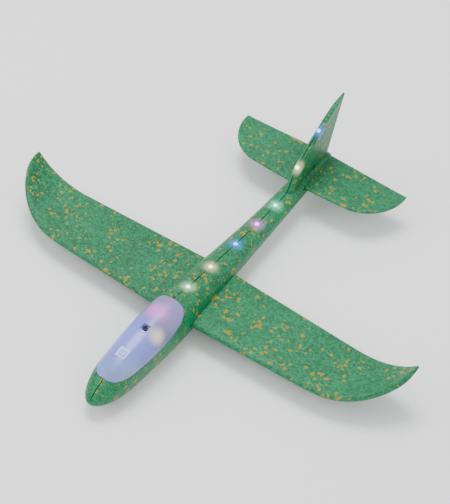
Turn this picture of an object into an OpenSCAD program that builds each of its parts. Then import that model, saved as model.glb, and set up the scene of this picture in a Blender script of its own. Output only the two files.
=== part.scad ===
// Hand-launched foam toy airplane: fuselage with fin, wing and tailplane pushed through slots,
// lit canopy over a battery tray, and a string of light beads along the spine.
// The nose points along -Y, +Z is up, and the belly stands on z = 0.

/* [Fuselage] */
// Distance from the nose tip to the middle of the model
nose_reach = 225; // [220:1:230]
// Length of the rounded nose
nose_len = 45; // [35:1:50]
// Roundness of the fuselage section, 2 is an ellipse
section_power = 2.3; // [2:0.1:2.6]

/* [Wing] */
// Half of the wing span
wing_half = 240; // [230:1:250]
// Height of the wing's middle plane
wing_z = 24; // [22:0.5:26]
// Thickness of the wing near its leading edge
wing_thick = 8; // [6:0.5:9]
// Radius of the upturned wing tips
tip_radius = 87; // [80:1:120]

/* [Tailplane] */
// Half of the tailplane span
tail_half = 107; // [100:1:112]
// Height of the tailplane's middle plane
tail_z = 34; // [33.5:0.1:34.5]
// Thickness of the tailplane near its leading edge
tail_thick = 5; // [4:0.5:5]

/* [Canopy] */
// Front end of the canopy
canopy_front = -203; // [-205:1:-201]
// Rear end of the canopy
canopy_rear = -90; // [-92:1:-86]
// Wall of the canopy shell
canopy_wall = 1.4; // [1:0.1:1.8]
// Gap round the canopy and the wing slots
gap = 0.3; // [0.2:0.05:0.4]

/* [Lights] */
// Radius of a light bead
bead_r = 2.2; // [1.8:0.1:2.6]
// Width of the slit that holds the wire
slit_w = 0.9; // [0.8:0.1:1.6]

/* [Hidden] */
$fn = 48;

// Half width, top, belly and widest height of the body at places along Y
half_width_pts = [[-225, 19.5], [-180, 20.4], [-110, 23.2], [-45, 20.5], [0, 17.8], [75, 14.5],
    [150, 11.4], [216, 6.5]];
top_pts = [[-225, 33], [-203, 38.7], [-172, 46], [-140, 51], [-90, 52], [-64, 47.5], [-23, 43], [24, 38.5],
    [70, 36], [122, 37], [150, 39.5], [216, 38]];
belly_pts = [[-225, 9], [-203, 5], [-165, -1.5], [-60, -1.5], [0, 9.5], [75, 14], [150, 18], [216, 24]];
middle_pts = [[-225, 18], [-150, 24], [60, 25], [150, 29], [216, 31]];
// Leading edge of the fin, as height and place along Y
fin_front_pts = [[30, 121], [66, 139], [88, 168], [94, 177], [106, 198], [117, 221]];

tail_post = 216;
tail_round_len = 8;
body_sides = 48;
fin_foot = 30;
fin_top = 117;
fin_rear_foot = 206;
fin_rear_top = 225;
fin_root_thick = 10;
fin_tip_thick = 6;
side_z = 33;
canopy_front_curve = 40;
canopy_rear_curve = 72;
slit_depth = 5;
wire_depth = 3.7;
wire_w = 0.7;
wire_play = 0.1;
bead_sink = 3;
bead_dome = 1.6;
bead_play = 0.12;

tray_half = 13;
tray_front = -190;
tray_rear = -100;
tray_base = 13;
tray_top = 30;
tray_wall = 1.2;
cavity_top = 36;
board_z = 27;
board_thick = 1.6;
cell_r = 5.8;
cell_h = 5.4;
cell_y = -128;
cell_z = tray_base + tray_wall + cell_r;
contact_thick = 0.5;

button_y = -173;
button_tilt = 13;
bezel_size = 11;
button_size = 7;
screw_y = -137;
screw_seat = 48.8;
screw_r = 1.4;
screw_play = 0.05;

back_led_places = [-64, -23, 24, 65, 102];
fin_led_heights = [66, 94];
cockpit_led_places = [[0, -183], [5, -158], [8, -134], [-3, -114]];

// Smooth curve through a list of points
function seg(p, t, i = 0) = (i >= len(p) - 2 || t < p[i + 1][0]) ? i : seg(p, t, i + 1);
function slope(p, i) =
    let(a = max(0, i - 1), b = min(len(p) - 1, i + 1))
    (p[b][1] - p[a][1]) / (p[b][0] - p[a][0]);
function curve(p, t) =
    let(i = seg(p, t), w = p[i + 1][0] - p[i][0], u = (t - p[i][0]) / w)
    p[i][1] * (1 + 2 * u) * pow(1 - u, 2) + slope(p, i) * w * u * pow(1 - u, 2)
    + p[i + 1][1] * u * u * (3 - 2 * u) - slope(p, i + 1) * w * u * u * (1 - u);

// How far an end has closed, from 0 at the very end to 1 where the body is full
function closing(d) = d >= 1 ? 1 : sqrt(max(0.0004, 1 - pow(1 - d, 2)));
function end_round(y) = min(closing((y + nose_reach) / nose_len), closing((tail_post - y) / tail_round_len));
function mid_z(y) = curve(middle_pts, y);
function top_z(y) = mid_z(y) + (curve(top_pts, y) - mid_z(y)) * end_round(y);
function signed_pow(v, e) = sign(v) * pow(abs(v), e);

function body_ring(y, inset) =
    let(
        r = end_round(y),
        w = curve(half_width_pts, y) * r - inset,
        up = (curve(top_pts, y) - mid_z(y)) * r - inset,
        down = (mid_z(y) - curve(belly_pts, y)) * r - inset
    )
    [for (k = [0 : body_sides - 1])
        let(a = 360 * k / body_sides, s = signed_pow(sin(a), 2 / section_power))
        [w * signed_pow(cos(a), 2 / section_power), y, mid_z(y) + (s > 0 ? up : down) * s]];

// Closed skin over a list of rings with equal numbers of points
module skin(rings) {
    n = len(rings[0]);
    last = len(rings) - 1;
    points = [for (r = rings) each r];
    sides = [for (i = [0 : last - 1], k = [0 : n - 1])
        let(a = i * n + k, b = i * n + (k + 1) % n)
        each [[a, b, b + n], [a, b + n, a + n]]];
    caps = [[for (k = [n - 1 : -1 : 0]) k], [for (k = [0 : n - 1]) last * n + k]];
    polyhedron(points, concat(sides, caps), convexity = 6);
}

nose_steps = 8;
tail_steps = 4;
body_step = 6;
body_places = concat(
    [for (i = [0 : nose_steps]) -nose_reach + nose_len * (1 - cos(90 * i / nose_steps))],
    [for (y = [-nose_reach + nose_len + body_step : body_step : tail_post - tail_round_len - 2]) y],
    [for (i = [0 : tail_steps]) tail_post - tail_round_len * (1 - sin(90 * i / tail_steps))]
);

// Body outline from the nose back to the given place
module body_loft(inset, rear = tail_post) {
    skin([for (y = body_places) if (y <= rear) body_ring(y, inset)]);
}

// Flat-sided foil with a round nose: share of the chord and half thickness, nose first, over the top
foil_steps = 12;
function foil_half(s, front, rear) =
    (front + (rear - front) * s) / 2 * min(closing(s / 0.08), closing((1 - s) / 0.03));
function foil_points(front, rear) =
    [for (k = [0 : 2 * foil_steps - 1])
        let(s = (1 - cos(180 * k / foil_steps)) / 2, h = foil_half(s, front, rear))
        [s, k == 0 || k == foil_steps ? 0 : (k < foil_steps ? h : -h)]];

// Plate of the given width across X, drawn in the YZ plane
module side_plate(width) {
    translate([-width / 2, 0, 0]) rotate([90, 0, 90]) linear_extrude(width) children();
}

// Fin: sections stacked along Z
fin_steps = 14;
function fin_front(z) = curve(fin_front_pts, z);
function fin_rear(z) = fin_rear_foot + (fin_rear_top - fin_rear_foot) * (z - fin_foot) / (fin_top - fin_foot);
function fin_lean(z) = atan((fin_front(z + 1) - fin_front(z - 1)) / 2);
function fin_edge(z, depth) = [fin_front(z) + depth * cos(fin_lean(z)), z - depth * sin(fin_lean(z))];
function fin_ring(z) =
    let(
        t = fin_root_thick + (fin_tip_thick - fin_root_thick) * (z - fin_foot) / (fin_top - fin_foot),
        chord = fin_rear(z) - fin_front(z)
    )
    [for (p = foil_points(t * min(1, chord / 14), t * 0.35)) [-p[1], fin_front(z) + chord * p[0], z]];

module fin() {
    skin([for (i = [0 : fin_steps]) fin_ring(fin_foot + (fin_top - fin_foot) * i / fin_steps)]);
}

// Wing outline
wing_front_root = -89;
wing_straight = 150;
wing_front_sweep = 0.033;
wing_rear_sweep = 0.042;
wing_rear_thick = 3;
tip_rear_y = -12;
flat_span = 175;
function wing_rear(x) = -wing_rear_sweep * abs(x);
function wing_front(x) =
    let(bend = wing_front_root + wing_front_sweep * min(abs(x), wing_straight),
        u = max(0, (abs(x) - wing_straight) / (wing_half - wing_straight)))
    tip_rear_y + (bend - tip_rear_y) * sqrt(max(0, 1 - u * u));
function tip_angle(x) = asin(max(0, abs(x) - flat_span) / tip_radius);
function wing_ring(x) =
    let(
        chord = wing_rear(x) - wing_front(x),
        t = wing_thick * min(1, chord / 24),
        a = tip_angle(x),
        lift = tip_radius * (1 - cos(a))
    )
    [for (p = foil_points(t, wing_rear_thick))
        [x - sign(x) * p[1] * sin(a), wing_front(x) + chord * p[0], wing_z + lift + p[1] * cos(a)]];
tip_steps = 14;
wing_side = concat(
    [for (x = [40 : 40 : 120]) x],
    [for (i = [0 : tip_steps]) wing_straight + (wing_half - wing_straight - 0.2) * sin(90 * i / tip_steps)]
);

module slot_cutter(front, rear, thick, rear_thick, z) {
    chord = rear - front + 2 * gap;
    foil = foil_points(thick + 2 * gap, rear_thick + 2 * gap);
    skin([for (x = [-40, 40]) [for (p = foil) [x, front - gap + chord * p[0], z + p[1]]]]);
}

// Tailplane outline
tail_front_root = 145.3;
tail_rear_root = 213;
tail_straight = 57;
tail_sweep = 0.046;
tail_rear_thick = 2.6;
tail_tip_y = 208;
function tail_rear(x) = tail_rear_root - tail_sweep * abs(x);
function tail_front(x) =
    let(bend = tail_front_root + tail_sweep * min(abs(x), tail_straight),
        u = max(0, (abs(x) - tail_straight) / (tail_half - tail_straight)))
    tail_tip_y - 2 + (bend - tail_tip_y + 2) * sqrt(max(0, 1 - u * u));
function tail_ring(x) =
    let(chord = tail_rear(x) - tail_front(x), t = tail_thick * min(1, chord / 20))
    [for (p = foil_points(t, tail_rear_thick)) [x, tail_front(x) + chord * p[0], tail_z + p[1]]];
tail_tip_steps = 12;
tail_side = concat([25], [for (i = [0 : tail_tip_steps])
    tail_straight + (tail_half - tail_straight - 0.2) * sin(90 * i / tail_tip_steps)]);

// Region of the canopy, seen from the side; g grows it
edge_steps = 14;
function canopy_edge(g) =
    let(front_rise = top_z(canopy_front) - side_z, rear_rise = top_z(canopy_rear) - side_z)
    concat(
        [for (i = [0 : edge_steps]) let(a = 90 * i / edge_steps)
            [canopy_front - g + canopy_front_curve * (1 - cos(a)), side_z - g + front_rise * (1 - sin(a))]],
        [for (i = [edge_steps : -1 : 0]) let(a = 90 * i / edge_steps)
            [canopy_rear + g - canopy_rear_curve * (1 - cos(a)), side_z - g + rear_rise * (1 - sin(a))]]
    );
module canopy_zone(g) {
    over = 70;
    side_plate(80) polygon(concat(canopy_edge(g), [[canopy_rear + g, over], [canopy_front - g, over]]));
}

// Band of the given depth below the spine of the body, from one place to another
module spine_band(from, to, upper, lower, width) {
    steps = 24;
    ys = [for (i = [0 : steps]) from + (to - from) * i / steps];
    outline = concat([for (y = ys) [y, top_z(y) - upper]],
        [for (i = [steps : -1 : 0]) [ys[i], top_z(ys[i]) - lower]]);
    side_plate(width) polygon(outline);
}

// Band along the front edge of the fin
module fin_band(from, to, upper, lower, width) {
    steps = 14;
    zs = [for (i = [0 : steps]) from + (to - from) * i / steps];
    outline = concat([for (z = zs) fin_edge(z, upper)], [for (i = [steps : -1 : 0]) fin_edge(zs[i], lower)]);
    side_plate(width) polygon(outline);
}

module on_spine(y) {
    translate([0, y, top_z(y)]) children();
}
module on_fin(z) {
    translate([0, fin_front(z), z]) rotate([90 - fin_lean(z), 0, 0]) children();
}
module bead_pocket() {
    translate([0, 0, -bead_sink]) cylinder(h = bead_sink + 4, r = bead_r + bead_play);
}
module bead(tint) {
    color(tint) {
        translate([0, 0, -bead_sink]) cylinder(h = bead_sink, r = bead_r);
        intersection() {
            scale_r = (bead_r * bead_r + bead_dome * bead_dome) / (2 * bead_dome);
            translate([0, 0, bead_dome - scale_r]) sphere(r = scale_r);
            cylinder(h = bead_dome, r = bead_r);
        }
    }
}

nose_wire_from = -221;
fin_wire_from = 40;
fin_wire_to = 94;
back_wire_to = 122;
notch = [12, 10, 4.6];
notch_at = [0, 174, 42.2];
weight_r = 5;
weight_len = 12;
weight_at = [0, -204, 18];

module fuselage() {
    color([0.22, 0.6, 0.46])
    difference() {
        union() {
            body_loft(0);
            fin();
        }
        translate([-50, -240, -20]) cube([100, 480, 20]);
        canopy_zone(gap);
        translate([-tray_half - gap, tray_front - gap, tray_base])
            cube([2 * (tray_half + gap), tray_rear - tray_front + 2 * gap, cavity_top - tray_base]);
        slot_cutter(wing_front_root, 0, wing_thick, wing_rear_thick, wing_z);
        slot_cutter(tail_front_root, tail_rear_root, tail_thick, tail_rear_thick, tail_z);
        translate(weight_at) rotate([90, 0, 0]) cylinder(h = weight_len + gap, r = weight_r + bead_play);
        spine_band(nose_wire_from, canopy_front, -4, slit_depth, slit_w);
        spine_band(canopy_rear - 2, back_wire_to, -4, slit_depth, slit_w);
        fin_band(fin_wire_from - 4, fin_wire_to + 2, -4, slit_depth, slit_w);
        for (y = back_led_places) on_spine(y) bead_pocket();
        for (z = fin_led_heights) on_fin(z) bead_pocket();
        translate(notch_at) cube(notch, center = true);
    }
}

module nose_weight() {
    color([0.6, 0.6, 0.62])
    translate(weight_at) rotate([90, 0, 0]) cylinder(h = weight_len, r = weight_r);
}

module wing() {
    color([0.22, 0.6, 0.46])
    skin(concat([for (i = [len(wing_side) - 1 : -1 : 0]) wing_ring(-wing_side[i])], [wing_ring(0)],
        [for (x = wing_side) wing_ring(x)]));
}

module tailplane() {
    color([0.22, 0.6, 0.46])
    skin(concat([for (i = [len(tail_side) - 1 : -1 : 0]) tail_ring(-tail_side[i])], [tail_ring(0)],
        [for (x = tail_side) tail_ring(x)]));
}

// Places children on the sloping front of the canopy, with Z square to its surface
module on_button() {
    translate([0, button_y, top_z(button_y)]) rotate([button_tilt, 0, 0]) children();
}
bezel_low = 4;
bezel_high = 0.8;
boss_low = 42;
boss_size = 11;
pocket_size = 8.5;
rib_y = -107;

module canopy() {
    behind = canopy_rear + 3 * body_step;
    color([0.7, 0.72, 0.85, 0.6])
    difference() {
        intersection() {
            body_loft(0, behind);
            canopy_zone(0);
        }
        difference() {
            body_loft(canopy_wall, behind);
            translate([-boss_size / 2, screw_y - boss_size / 2, boss_low]) cube([boss_size, boss_size, 20]);
            difference() {
                translate([-40, rib_y - 0.5, 0]) cube([80, 1, 70]);
                body_loft(2 * canopy_wall, behind);
            }
        }
        on_button() translate([-bezel_size / 2, -bezel_size / 2, -bezel_low - 4])
            cube([bezel_size, bezel_size, 20]);
        translate([-pocket_size / 2, screw_y - pocket_size / 2, screw_seat])
            cube([pocket_size, pocket_size, 20]);
        translate([0, screw_y, boss_low - 5]) cylinder(h = 20, r = screw_r + screw_play);
    }
}

module button_bezel() {
    hole = button_size + 2 * gap;
    color([0.45, 0.47, 0.55])
    on_button()
    difference() {
        translate([-bezel_size / 2, -bezel_size / 2, -bezel_low])
            cube([bezel_size, bezel_size, bezel_low + bezel_high]);
        translate([-hole / 2, -hole / 2, -bezel_low - 1]) cube([hole, hole, 10]);
    }
}

module push_button() {
    color([0.8, 0.82, 0.9])
    on_button() {
        translate([-button_size / 2, -button_size / 2, -bezel_low + 0.5])
            cube([button_size, button_size, bezel_low + 0.8]);
        translate([0, 0, -bezel_low - 1.5]) cylinder(h = 2.5, r = 1.5);
    }
}

module battery_screw() {
    head_r = 3;
    head_h = 1.8;
    tip_z = 39;
    color([0.15, 0.15, 0.16])
    difference() {
        union() {
            translate([0, screw_y, screw_seat + 0.1]) cylinder(h = head_h, r = head_r);
            translate([0, screw_y, tip_z]) cylinder(h = screw_seat + 0.2 - tip_z, r = screw_r);
        }
        for (a = [0, 90]) translate([0, screw_y, screw_seat + head_h]) rotate([0, 0, a])
            cube([4.2, 0.9, 2], center = true);
    }
}

module electronics_tray() {
    len_y = tray_rear - tray_front;
    post = 3;
    color([0.2, 0.2, 0.22]) {
        difference() {
            translate([-tray_half, tray_front, tray_base])
                cube([2 * tray_half, len_y, tray_top - tray_base]);
            translate([-tray_half + tray_wall, tray_front + tray_wall, tray_base + tray_wall])
                cube([2 * (tray_half - tray_wall), len_y - 2 * tray_wall, 30]);
        }
        for (x = [-1, 1], y = [tray_front + tray_wall, tray_rear - tray_wall - post])
            translate([x * (tray_half - tray_wall - post / 2) - post / 2, y, tray_base])
                cube([post, post, board_z - tray_base]);
    }
}

module circuit_board() {
    edge = 0.2;
    color([0.1, 0.35, 0.2])
    translate([-tray_half + tray_wall + edge, tray_front + tray_wall + edge, board_z])
        cube([2 * (tray_half - tray_wall - edge), tray_rear - tray_front - 2 * (tray_wall + edge),
            board_thick]);
}

module light_controller() {
    color([0.05, 0.05, 0.06])
    translate([-6, -160, board_z + board_thick]) cylinder(h = 1.5, r = 4);
}

module switch_body() {
    color([0.12, 0.12, 0.13])
    translate([-3, button_y - 3, board_z + board_thick]) cube([6, 6, 8]);
}

module cell(i) {
    color([0.75, 0.75, 0.78])
    translate([0, cell_y + (i + 1) * cell_h, cell_z]) rotate([90, 0, 0]) cylinder(h = cell_h, r = cell_r);
}

module contact(y) {
    color([0.8, 0.65, 0.3])
    translate([-4, y, tray_base + tray_wall]) cube([8, contact_thick, 10]);
}

module cockpit_led(i, tint) {
    r = 2.2;
    color(tint)
    translate([cockpit_led_places[i][0], cockpit_led_places[i][1], board_z + board_thick]) {
        cylinder(h = 3.2, r = r);
        translate([0, 0, 3.2]) sphere(r = r);
    }
}

module wire() {
    color([0.75, 0.75, 0.72]) children();
}

fuselage();
nose_weight();
wing();
tailplane();
canopy();
button_bezel();
push_button();
battery_screw();
electronics_tray();
circuit_board();
light_controller();
switch_body();
cell(0);  // cell_front
cell(1);  // cell_middle
cell(2);  // cell_rear
contact(cell_y - contact_thick);  // contact_positive
contact(cell_y + 3 * cell_h);  // contact_negative
cockpit_led(0, "cyan");  // cockpit_led_1
cockpit_led(1, "blue");  // cockpit_led_2
cockpit_led(2, "moccasin");  // cockpit_led_3
cockpit_led(3, "magenta");  // cockpit_led_4
on_spine(back_led_places[0]) bead("aquamarine");  // back_led_1
on_spine(back_led_places[1]) bead("lightyellow");  // back_led_2
on_spine(back_led_places[2]) bead("dodgerblue");  // back_led_3
on_spine(back_led_places[3]) bead("magenta");  // back_led_4
on_spine(back_led_places[4]) bead("cyan");  // back_led_5
on_fin(fin_led_heights[0]) bead("lightyellow");  // fin_led_1
on_fin(fin_led_heights[1]) bead("blue");  // fin_led_2
wire()  // nose_wire
    spine_band(nose_wire_from + 1, canopy_front - 1, wire_depth, slit_depth - wire_play, wire_w);
wire()  // back_wire
    spine_band(canopy_rear + 1, back_wire_to, wire_depth, slit_depth - wire_play, wire_w);
wire()  // fin_wire
    fin_band(fin_wire_from, fin_wire_to, wire_depth, slit_depth - wire_play, wire_w);
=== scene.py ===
import math

import bmesh
import bpy
from mathutils import Matrix, Vector


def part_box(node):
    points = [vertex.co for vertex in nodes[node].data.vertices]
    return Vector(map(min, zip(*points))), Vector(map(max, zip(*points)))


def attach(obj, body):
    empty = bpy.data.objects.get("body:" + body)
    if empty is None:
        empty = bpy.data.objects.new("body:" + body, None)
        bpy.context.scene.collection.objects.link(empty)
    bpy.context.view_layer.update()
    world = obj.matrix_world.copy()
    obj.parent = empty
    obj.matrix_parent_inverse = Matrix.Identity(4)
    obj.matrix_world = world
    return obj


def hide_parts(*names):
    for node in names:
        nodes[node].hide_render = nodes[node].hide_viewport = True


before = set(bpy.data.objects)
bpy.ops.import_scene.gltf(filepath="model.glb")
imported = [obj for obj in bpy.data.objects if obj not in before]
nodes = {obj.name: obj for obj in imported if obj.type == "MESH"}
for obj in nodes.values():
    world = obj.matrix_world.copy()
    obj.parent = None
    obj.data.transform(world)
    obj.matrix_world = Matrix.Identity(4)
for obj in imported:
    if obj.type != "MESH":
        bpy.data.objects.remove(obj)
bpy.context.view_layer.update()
print("frame loaded")


# maths on shader sockets, so a pattern reads as an expression
class Expr:
    def __init__(self, shader, socket):
        self.shader = shader
        self.socket = socket

    def math(self, operation, *others):
        values = {0: self}
        for place, other in enumerate(others):
            values[place + 1] = other
        return self.shader.node("ShaderNodeMath", {"operation": operation}, values)

    def __add__(self, other):
        return self.math("ADD", other)

    __radd__ = __add__

    def __mul__(self, other):
        return self.math("MULTIPLY", other)

    __rmul__ = __mul__

    def __sub__(self, other):
        return self.math("SUBTRACT", other)

    def __rsub__(self, other):
        return (self * -1) + other


class Shader:
    def __init__(self, name):
        self.material = bpy.data.materials.new(name)
        self.material.use_nodes = True
        self.tree = self.material.node_tree
        self.surface = self.tree.nodes["Principled BSDF"]
        self.place = self.node("ShaderNodeTexCoord", {}, {}, "Object")

    # any node: its settings first, then the values or links of its sockets
    def node(self, kind, settings, values, output=0):
        made = self.tree.nodes.new(kind)
        for key, value in settings.items():
            setattr(made, key, value)
        for key, value in values.items():
            self.connect(made.inputs[key], value)
        return Expr(self, made.outputs[output])

    def connect(self, socket, value):
        if isinstance(value, Expr):
            self.tree.links.new(value.socket, socket)
        else:
            socket.default_value = value

    def set(self, **values):
        for key, value in values.items():
            self.connect(self.surface.inputs[key.replace("_", " ")], value)

    def noise(self, scale, detail=3.0, output="Fac"):
        values = {"Vector": self.place, "Scale": scale, "Detail": detail}
        return self.node("ShaderNodeTexNoise", {}, values, output)

    def mix(self, factor, first, second):
        return self.node("ShaderNodeMix", {"data_type": "RGBA"}, {0: factor, 6: first, 7: second}, 2)

    def smooth(self, value, low, high):
        settings = {"interpolation_type": "SMOOTHSTEP"}
        return self.node("ShaderNodeMapRange", settings, {0: value, 1: low, 2: high})

    # 1 at a point, falling to 0 at the reach
    def near(self, point, reach):
        ends = {0: self.place, 1: point}
        gap = self.node("ShaderNodeVectorMath", {"operation": "DISTANCE"}, ends, "Value")
        return 1 - self.smooth(gap, 0.0, reach)

    def bump(self, height, strength, distance):
        values = {"Height": height, "Strength": strength, "Distance": distance}
        self.set(Normal=self.node("ShaderNodeBump", {}, values))


def rgb(red, green, blue):
    def linear(value):
        value = value / 255
        return value / 12.92 if value <= 0.04045 else ((value + 0.055) / 1.055) ** 2.4
    return (linear(red), linear(green), linear(blue), 1)


def middleOf(name):
    low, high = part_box(name)
    return tuple((a + b) / 2 for a, b in zip(low, high))


lightSettings = {
    "mint": rgb(190, 255, 215),
    "cream": rgb(255, 244, 190),
    "blue": rgb(70, 120, 255),
    "magenta": rgb(255, 60, 245),
    "cyan": rgb(90, 255, 215),
    "sky": rgb(0, 112, 205),
    "azure": rgb(70, 96, 250),
    "lilac": rgb(132, 84, 176),
    "warm": rgb(255, 225, 170),
    "strength": 3.0,
    "halo": 0.015,
    "haloStrength": 1.1,
}
backLights = {
    "back_led_1": "mint",
    "back_led_2": "cream",
    "back_led_3": "blue",
    "back_led_4": "magenta",
    "back_led_5": "cyan",
    "fin_led_1": "cream",
    "fin_led_2": "blue",
}
cockpitLights = {
    "cockpit_led_1": "cyan",
    "cockpit_led_2": "blue",
    "cockpit_led_3": "cream",
    "cockpit_led_4": "magenta",
}

# scales are in cells to the metre, shares run from 0 to 1
foamSettings = {
    "deep": rgb(0, 82, 44),
    "light": rgb(4, 128, 80),
    "seam": rgb(0, 62, 34),
    "glint": rgb(90, 185, 150),
    "fleck": rgb(122, 138, 8),
    "fleckWarm": rgb(176, 104, 8),
    "beadScale": 460.0,
    "wobbleScale": 180.0,
    "wobbleReach": 0.0022,
    "patchScale": 14.0,
    "grainScale": 1500.0,
    "glintScale": 2600.0,
    "seamShare": 0.5,
    "glintShare": 0.4,
    "fleckScale": 330.0,
    "fleckEdge": 0.935,
    "fleckBlur": 0.015,
    "fleckCover": 0.85,
    "clusterScale": 38.0,
    "clusterPull": 0.42,
    "roughness": 0.38,
    "shine": 0.35,
    "bumpStrength": 0.5,
    "bumpDepth": 0.0006,
}


# packed beads, seen by their gaps, a random value each and a fine grain
def mottledGreen(shader, bent, grain, s):
    beads = {"Vector": bent, "Scale": s["beadScale"], "Randomness": 1.0}
    gap = shader.node("ShaderNodeTexVoronoi", {"feature": "DISTANCE_TO_EDGE"}, beads, "Distance")
    tint = shader.node("ShaderNodeTexVoronoi", {}, beads, "Color")
    value = shader.node("ShaderNodeSeparateColor", {}, {0: tint}, 0)
    patches = shader.noise(s["patchScale"], 4.0)
    tone = value * 0.45 + patches * 0.4 + grain * 0.25
    green = shader.mix(shader.smooth(tone, 0.25, 0.85), s["deep"], s["light"])
    edge = shader.smooth(gap, 0.0, 0.11)
    green = shader.mix((1 - edge) * s["seamShare"], green, s["seam"])
    # painted highlight: fine pale glints mixed into the foam colour
    glint = shader.smooth(shader.noise(s["glintScale"], 1.0), 0.62, 0.72)
    return shader.mix(glint * s["glintShare"], green, s["glint"]), gap, value


# olive flecks with warm rims, in loose clusters
def addFlecks(shader, green, bent, s):
    cells = {"Vector": bent, "Scale": s["fleckScale"], "Randomness": 1.0}
    tint = shader.node("ShaderNodeTexVoronoi", {}, cells, "Color")
    gap = shader.node("ShaderNodeTexVoronoi", {"feature": "DISTANCE_TO_EDGE"}, cells, "Distance")
    value = shader.node("ShaderNodeSeparateColor", {}, {0: tint}, 1)
    cluster = shader.noise(s["clusterScale"], 2.0)
    share = value + (cluster - 0.5) * s["clusterPull"]
    fleck = shader.smooth(share, s["fleckEdge"], s["fleckEdge"] + s["fleckBlur"])
    olive = shader.mix(shader.smooth(gap, 0.02, 0.14), s["fleckWarm"], s["fleck"])
    return shader.mix(fleck * s["fleckCover"], green, olive)


def foamMaterial(name, withHalo):
    s = foamSettings
    shader = Shader(name)
    wobble = shader.noise(s["wobbleScale"], 2.0, "Color")
    bend = {0: wobble, 1: (s["wobbleReach"],) * 3, 2: shader.place}
    bent = shader.node("ShaderNodeVectorMath", {"operation": "MULTIPLY_ADD"}, bend)
    grain = shader.noise(s["grainScale"], 2.0)
    green, gap, value = mottledGreen(shader, bent, grain, s)
    shader.set(Base_Color=addFlecks(shader, green, bent, s))
    shader.set(Roughness=grain * 0.2 + value * 0.12 + (s["roughness"] - 0.12))
    shader.set(Specular_IOR_Level=s["shine"])
    height = shader.smooth(gap, 0.0, 0.2) * 0.7 + grain * 0.3
    shader.bump(height, s["bumpStrength"], s["bumpDepth"])
    # painted light: the foam round each back and fin light glows in that light's colour, as emission
    if withHalo:
        glow = (0, 0, 0, 1)
        for light, tint in backLights.items():
            spot = shader.near(middleOf(light), lightSettings["halo"])
            glow = shader.mix(spot * spot, glow, lightSettings[tint])
        shader.set(Emission_Color=glow, Emission_Strength=lightSettings["haloStrength"])
    return shader.material


# each spot of painted glow: colour, middle, reach and how much of it shows
canopySettings = {
    "milk": rgb(122, 120, 158),
    "shade": rgb(98, 108, 128),
    "spots": [
        ("sky", (-0.010, -0.188, 0.038), 0.044, 1.0),
        ("mint", (0.015, -0.178, 0.036), 0.020, 0.16),
        ("azure", (-0.005, -0.154, 0.048), 0.042, 1.0),
        ("azure", (-0.016, -0.132, 0.045), 0.028, 0.5),
        ("lilac", (0.008, -0.104, 0.048), 0.036, 0.7),
        ("warm", (0.013, -0.136, 0.046), 0.013, 1.0),
        ("magenta", (-0.003, -0.113, 0.051), 0.017, 1.0),
    ],
    "base": (0.02, 0.022, 0.05, 1),
    "strength": 1.0,
    "cloudScale": 45.0,
    "fineScale": 900.0,
    "roughness": 0.2,
    "milkiness": 0.25,
    "milkDepth": 0.004,
}


# milky plastic, with the glow of the cockpit lights below it painted on as emission
def canopyMaterial():
    s = canopySettings
    shader = Shader("milkyCanopy")
    cloud = shader.noise(s["cloudScale"], 3.0)
    fine = shader.noise(s["fineScale"], 2.0)
    shader.set(Base_Color=shader.mix(cloud, s["milk"], s["shade"]))
    # painted glow: a faint blue everywhere, then a spot of each light's colour
    glow = s["base"]
    for tint, place, reach, amount in s["spots"]:
        spot = shader.near(place, reach)
        glow = shader.mix(spot * amount, glow, lightSettings[tint])
    shader.set(Emission_Color=glow, Emission_Strength=s["strength"])
    shader.set(Roughness=fine * 0.12 + s["roughness"])
    shader.set(Subsurface_Weight=s["milkiness"], Subsurface_Scale=s["milkDepth"])
    shader.bump(cloud * 0.6 + fine * 0.4, 0.15, 0.0004)
    return shader.material


# small hard parts: colour, how rough, how metallic, grain size and its depth
plainFinishes = {
    "darkPlastic": (rgb(58, 60, 66), 0.5, 0.0, 700.0, 0.2),
    "blackPlastic": (rgb(26, 26, 29), 0.38, 0.0, 900.0, 0.12),
    "bezelPlastic": (rgb(172, 186, 236), 0.32, 0.0, 600.0, 0.1),
    "buttonPlastic": (rgb(120, 146, 216), 0.28, 0.0, 600.0, 0.1),
    "solderMask": (rgb(24, 92, 52), 0.35, 0.0, 260.0, 0.15),
    "cellSteel": (rgb(196, 198, 202), 0.25, 1.0, 480.0, 0.12),
    "weightSteel": (rgb(160, 160, 164), 0.4, 1.0, 320.0, 0.25),
    "springBrass": (rgb(206, 172, 96), 0.3, 1.0, 400.0, 0.12),
    "screwBlack": (rgb(30, 30, 34), 0.35, 0.6, 500.0, 0.15),
    "wireCoat": (rgb(196, 190, 170), 0.3, 0.0, 800.0, 0.1),
}


def plainMaterial(name):
    colour, rough, metal, grainScale, depth = plainFinishes[name]
    shader = Shader(name)
    grain = shader.noise(grainScale, 4.0)
    wear = shader.noise(grainScale * 0.12, 3.0)
    worn = tuple(min(1, c * 1.35 + 0.01) for c in colour[:3]) + (1,)
    shader.set(Base_Color=shader.mix(wear * 0.7, colour, worn))
    shader.set(Roughness=grain * 0.18 + wear * 0.1 + (rough - 0.12), Metallic=metal)
    shader.bump(grain, depth, 0.0003)
    return shader.material


def lightMaterial(tint):
    shader = Shader(tint + "Lens")
    colour = lightSettings[tint]
    swirl = shader.noise(600.0, 2.0)
    pale = tuple(0.5 + 0.5 * c for c in colour[:3]) + (1,)
    shader.set(Base_Color=shader.mix(swirl, colour, pale))
    shader.set(Emission_Color=shader.mix(swirl * 0.8, colour, pale))
    shader.set(Emission_Strength=lightSettings["strength"], Roughness=swirl * 0.1 + 0.08)
    shader.bump(swirl, 0.08, 0.0002)
    return shader.material


def paint(node, material):
    mesh = nodes[node].data
    mesh.materials.clear()
    mesh.materials.append(material)


pieceSettings = {
    "weldReach": 1e-6,
    "bodySharp": 32,
    "plateSharp": 180,
    "joinBend": 0.7,
    "joinSkew": 3.14,
    "roundLevels": 2,
}


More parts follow.
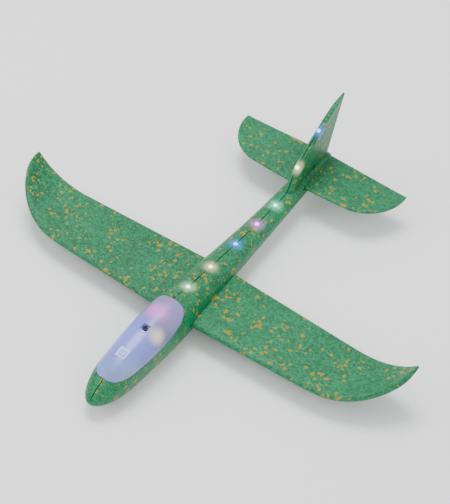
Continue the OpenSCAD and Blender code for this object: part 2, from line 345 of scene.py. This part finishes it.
# a CAD solid as one welded mesh, shaded round except at its true edges
def weldedCopy(node, name, body, material, sharpAngle):
    mesh = nodes[node].data.copy()
    mesh.name = name
    form = bmesh.new()
    form.from_mesh(mesh)
    bmesh.ops.remove_doubles(form, verts=form.verts, dist=pieceSettings["weldReach"])
    limit = math.radians(sharpAngle)
    for face in form.faces:
        face.smooth = True
    for edge in form.edges:
        edge.smooth = len(edge.link_faces) == 2 and edge.calc_face_angle(0) < limit
    form.to_mesh(mesh)
    form.free()
    mesh.materials.clear()
    mesh.materials.append(material)
    piece = bpy.data.objects.new(name, mesh)
    bpy.context.scene.collection.objects.link(piece)
    return finishPiece(piece, node, body)


def finishPiece(piece, node, body):
    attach(piece, body)
    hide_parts(node)
    return piece


# joins a welded plate's triangles into quads and rounds them by subdivision
def roundOff(piece):
    s = pieceSettings
    form = bmesh.new()
    form.from_mesh(piece.data)
    bmesh.ops.join_triangles(form, faces=form.faces, angle_face_threshold=s["joinBend"],
                             angle_shape_threshold=s["joinSkew"])
    form.to_mesh(piece.data)
    form.free()
    subdivision = piece.modifiers.new("round", "SUBSURF")
    subdivision.levels = s["roundLevels"]
    subdivision.render_levels = s["roundLevels"]


wireSettings = {
    "strandRadius": 0.00017,
    "strandGap": 0.00036,
    "twistLength": 0.004,
    "spacing": 0.0008,
    "sides": 8,
}


# tube along a path, as a Geometry Nodes tree
def strandTree(material):
    tree = bpy.data.node_groups.new("strandTube", "GeometryNodeTree")
    face = tree.interface
    face.new_socket("Geometry", in_out="INPUT", socket_type="NodeSocketGeometry")
    radius = face.new_socket("Strand Radius", in_out="INPUT", socket_type="NodeSocketFloat")
    spacing = face.new_socket("Spacing", in_out="INPUT", socket_type="NodeSocketFloat")
    sides = face.new_socket("Sides", in_out="INPUT", socket_type="NodeSocketInt")
    face.new_socket("Geometry", in_out="OUTPUT", socket_type="NodeSocketGeometry")
    add = tree.nodes.new
    start, end = add("NodeGroupInput"), add("NodeGroupOutput")
    toCurve = add("GeometryNodeMeshToCurve")
    resample = add("GeometryNodeResampleCurve")
    resample.mode = "LENGTH"
    ring = add("GeometryNodeCurvePrimitiveCircle")
    tube = add("GeometryNodeCurveToMesh")
    tube.inputs["Fill Caps"].default_value = True
    smooth = add("GeometryNodeSetShadeSmooth")
    realize = add("GeometryNodeRealizeInstances")
    finish = add("GeometryNodeSetMaterial")
    finish.inputs["Material"].default_value = material
    for source, target in [
        (start.outputs["Geometry"], toCurve.inputs["Mesh"]),
        (toCurve.outputs["Curve"], resample.inputs["Curve"]),
        (start.outputs["Spacing"], resample.inputs["Length"]),
        (start.outputs["Strand Radius"], ring.inputs["Radius"]),
        (start.outputs["Sides"], ring.inputs["Resolution"]),
        (resample.outputs["Curve"], tube.inputs["Curve"]),
        (ring.outputs["Curve"], tube.inputs["Profile Curve"]),
        (tube.outputs["Mesh"], smooth.inputs["Geometry"]),
        (smooth.outputs["Geometry"], realize.inputs["Geometry"]),
        (realize.outputs["Geometry"], finish.inputs["Geometry"]),
        (finish.outputs["Geometry"], end.inputs["Geometry"]),
    ]:
        tree.links.new(source, target)
    values = {
        radius.identifier: wireSettings["strandRadius"],
        spacing.identifier: wireSettings["spacing"],
        sides.identifier: wireSettings["sides"],
    }
    return tree, values


# middle line of a wire's CAD strip, from its front end to its rear end
def stripLine(node):
    corners = {tuple(round(c, 6) for c in v.co) for v in nodes[node].data.vertices if v.co.x > 0}
    ordered = sorted(corners, key=lambda corner: corner[1])
    middles = [(Vector(a) + Vector(b)) / 2 for a, b in zip(ordered[::2], ordered[1::2])]
    return [Vector((0, middle.y, middle.z)) for middle in middles]


# even stops along a line: how far they lie from its start, where, and which way it runs there
def stopsAlong(line, spacing):
    walked = [0.0]
    for a, b in zip(line, line[1:]):
        walked.append(walked[-1] + (b - a).length)
    steps = max(12, int(walked[-1] / spacing))
    stops = []
    for step in range(steps + 1):
        goal = walked[-1] * step / steps
        part = max(i for i, d in enumerate(walked) if d <= goal + 1e-9)
        part = min(part, len(line) - 2)
        share = (goal - walked[part]) / max(1e-9, walked[part + 1] - walked[part])
        stops.append((goal, line[part].lerp(line[part + 1], share), line[part + 1] - line[part]))
    return stops


# two strands twisted round each other, as points and edges for the tree
def twistedPath(name, stops):
    s = wireSettings
    side = Vector((1, 0, 0))
    points, edges = [], []
    for strand in (0, math.pi):
        first = len(points)
        for goal, spot, ahead in stops:
            up = side.cross(ahead.normalized())
            turn = 2 * math.pi * goal / s["twistLength"] + strand
            points.append(spot + (side * math.cos(turn) + up * math.sin(turn)) * s["strandGap"] / 2)
        edges += [(i, i + 1) for i in range(first, len(points) - 1)]
    mesh = bpy.data.meshes.new(name + "Path")
    mesh.from_pydata(points, edges, [])
    return mesh


def wirePiece(node, name, material, tree, values):
    mesh = twistedPath(name, stopsAlong(stripLine(node), wireSettings["spacing"]))
    carrier = bpy.data.objects.new(name + "Carrier", mesh)
    bpy.context.scene.collection.objects.link(carrier)
    modifier = carrier.modifiers.new("strands", "NODES")
    modifier.node_group = tree
    for key, value in values.items():
        modifier[key] = value
    bpy.context.view_layer.update()
    made = bpy.data.meshes.new_from_object(carrier.evaluated_get(bpy.context.evaluated_depsgraph_get()))
    bpy.data.objects.remove(carrier)
    made.materials.clear()
    made.materials.append(material)
    piece = bpy.data.objects.new(name, made)
    bpy.context.scene.collection.objects.link(piece)
    return finishPiece(piece, node, "airframe")


def makeFoam():
    sharp, soft = pieceSettings["bodySharp"], pieceSettings["plateSharp"]
    body = foamMaterial("foamBody", True)
    plate = foamMaterial("foamPlate", False)
    weldedCopy("fuselage", "foamFuselage", "airframe", body, sharp)
    roundOff(weldedCopy("wing", "foamWing", "wing", plate, soft))
    roundOff(weldedCopy("tailplane", "foamTailplane", "tail", plate, soft))


def makeCanopy():
    sharp = pieceSettings["bodySharp"]
    weldedCopy("canopy", "canopyShell", "canopy", canopyMaterial(), sharp)


def makeSmallParts():
    finishes = {
        "button_bezel": "bezelPlastic",
        "push_button": "buttonPlastic",
        "battery_screw": "screwBlack",
        "electronics_tray": "darkPlastic",
        "circuit_board": "solderMask",
        "light_controller": "blackPlastic",
        "switch_body": "blackPlastic",
        "cell_front": "cellSteel",
        "cell_middle": "cellSteel",
        "cell_rear": "cellSteel",
        "contact_positive": "springBrass",
        "contact_negative": "springBrass",
        "nose_weight": "weightSteel",
    }
    made = {finish: plainMaterial(finish) for finish in sorted(set(finishes.values()))}
    for node, finish in finishes.items():
        paint(node, made[finish])
    lenses = {tint: lightMaterial(tint) for tint in ("mint", "cream", "blue", "magenta", "cyan")}
    for light, tint in {**backLights, **cockpitLights}.items():
        paint(light, lenses[tint])


def makeWires():
    coat = plainMaterial("wireCoat")
    tree, values = strandTree(coat)
    for place in ("nose", "back", "fin"):
        wirePiece(place + "_wire", place + "WirePair", coat, tree, values)


cameraSettings = {
    "azimuth": 29.368,
    "elevation": 46.626,
    "roll": 7.218,
    "distance": 1.4547,
    "target": (0.0, -0.0043, 0.0494),
    "lens": 99.76,
    "sensor": 36,
    "shiftX": 0.007,
    "farthest": 20,
}


def makeCamera():
    s = cameraSettings
    azimuth, elevation, roll = (math.radians(s[key]) for key in ("azimuth", "elevation", "roll"))
    back = Vector((math.sin(azimuth) * math.cos(elevation), -math.cos(azimuth) * math.cos(elevation),
                   math.sin(elevation)))
    flat = Vector((math.cos(azimuth), math.sin(azimuth), 0))
    tall = back.cross(flat)
    right = flat * math.cos(roll) + tall * math.sin(roll)
    up = tall * math.cos(roll) - flat * math.sin(roll)
    turn = Matrix((right, up, back)).transposed().to_4x4()
    camera = bpy.data.objects.new("camera", bpy.data.cameras.new("camera"))
    bpy.context.scene.collection.objects.link(camera)
    camera.matrix_world = Matrix.Translation(Vector(s["target"]) + back * s["distance"]) @ turn
    camera.data.lens = s["lens"]
    camera.data.sensor_width = s["sensor"]
    camera.data.shift_x = s["shiftX"]
    camera.data.clip_end = s["farthest"]
    bpy.context.scene.camera = camera


# area lights: place, size and power
studioLights = {
    "keyLight": ((-0.5, 0.4, 1.9), 0.9, 34.0),
    "fillLight": ((1.6, -0.9, 1.2), 1.8, 12.0),
    "rimLight": ((-1.4, -1.2, 1.5), 1.2, 16.0),
}
floorSettings = {
    "size": 6.0,
    "colour": rgb(246, 246, 248),
    "sky": (1.0, 1.0, 1.0, 1),
    "skyStrength": 1.0,
}


def makeStudio():
    world = bpy.data.worlds.new("studio")
    world.use_nodes = True
    sky = world.node_tree.nodes["Background"].inputs
    sky[0].default_value = floorSettings["sky"]
    sky[1].default_value = floorSettings["skyStrength"]
    bpy.context.scene.world = world
    for name, (place, size, power) in studioLights.items():
        light = bpy.data.lights.new(name, "AREA")
        light.size = size
        light.energy = power
        lamp = bpy.data.objects.new(name, light)
        bpy.context.scene.collection.objects.link(lamp)
        lamp.location = place
        lamp.rotation_euler = (-Vector(place)).to_track_quat("-Z", "Y").to_euler()
    half = floorSettings["size"] / 2
    mesh = bpy.data.meshes.new("studioFloor")
    corners = [(-half, -half, 0), (half, -half, 0), (half, half, 0), (-half, half, 0)]
    mesh.from_pydata(corners, [], [(0, 1, 2, 3)])
    shader = Shader("paleFloor")
    shader.set(Base_Color=floorSettings["colour"], Roughness=shader.noise(8.0) * 0.1 + 0.6)
    mesh.materials.append(shader.material)
    floor = bpy.data.objects.new("studioFloor", mesh)
    bpy.context.scene.collection.objects.link(floor)


makeCamera()
makeStudio()
print("studio ready")
makeFoam()
print("foam ready")
makeCanopy()
makeSmallParts()
print("small parts ready")
makeWires()
print("wires ready")
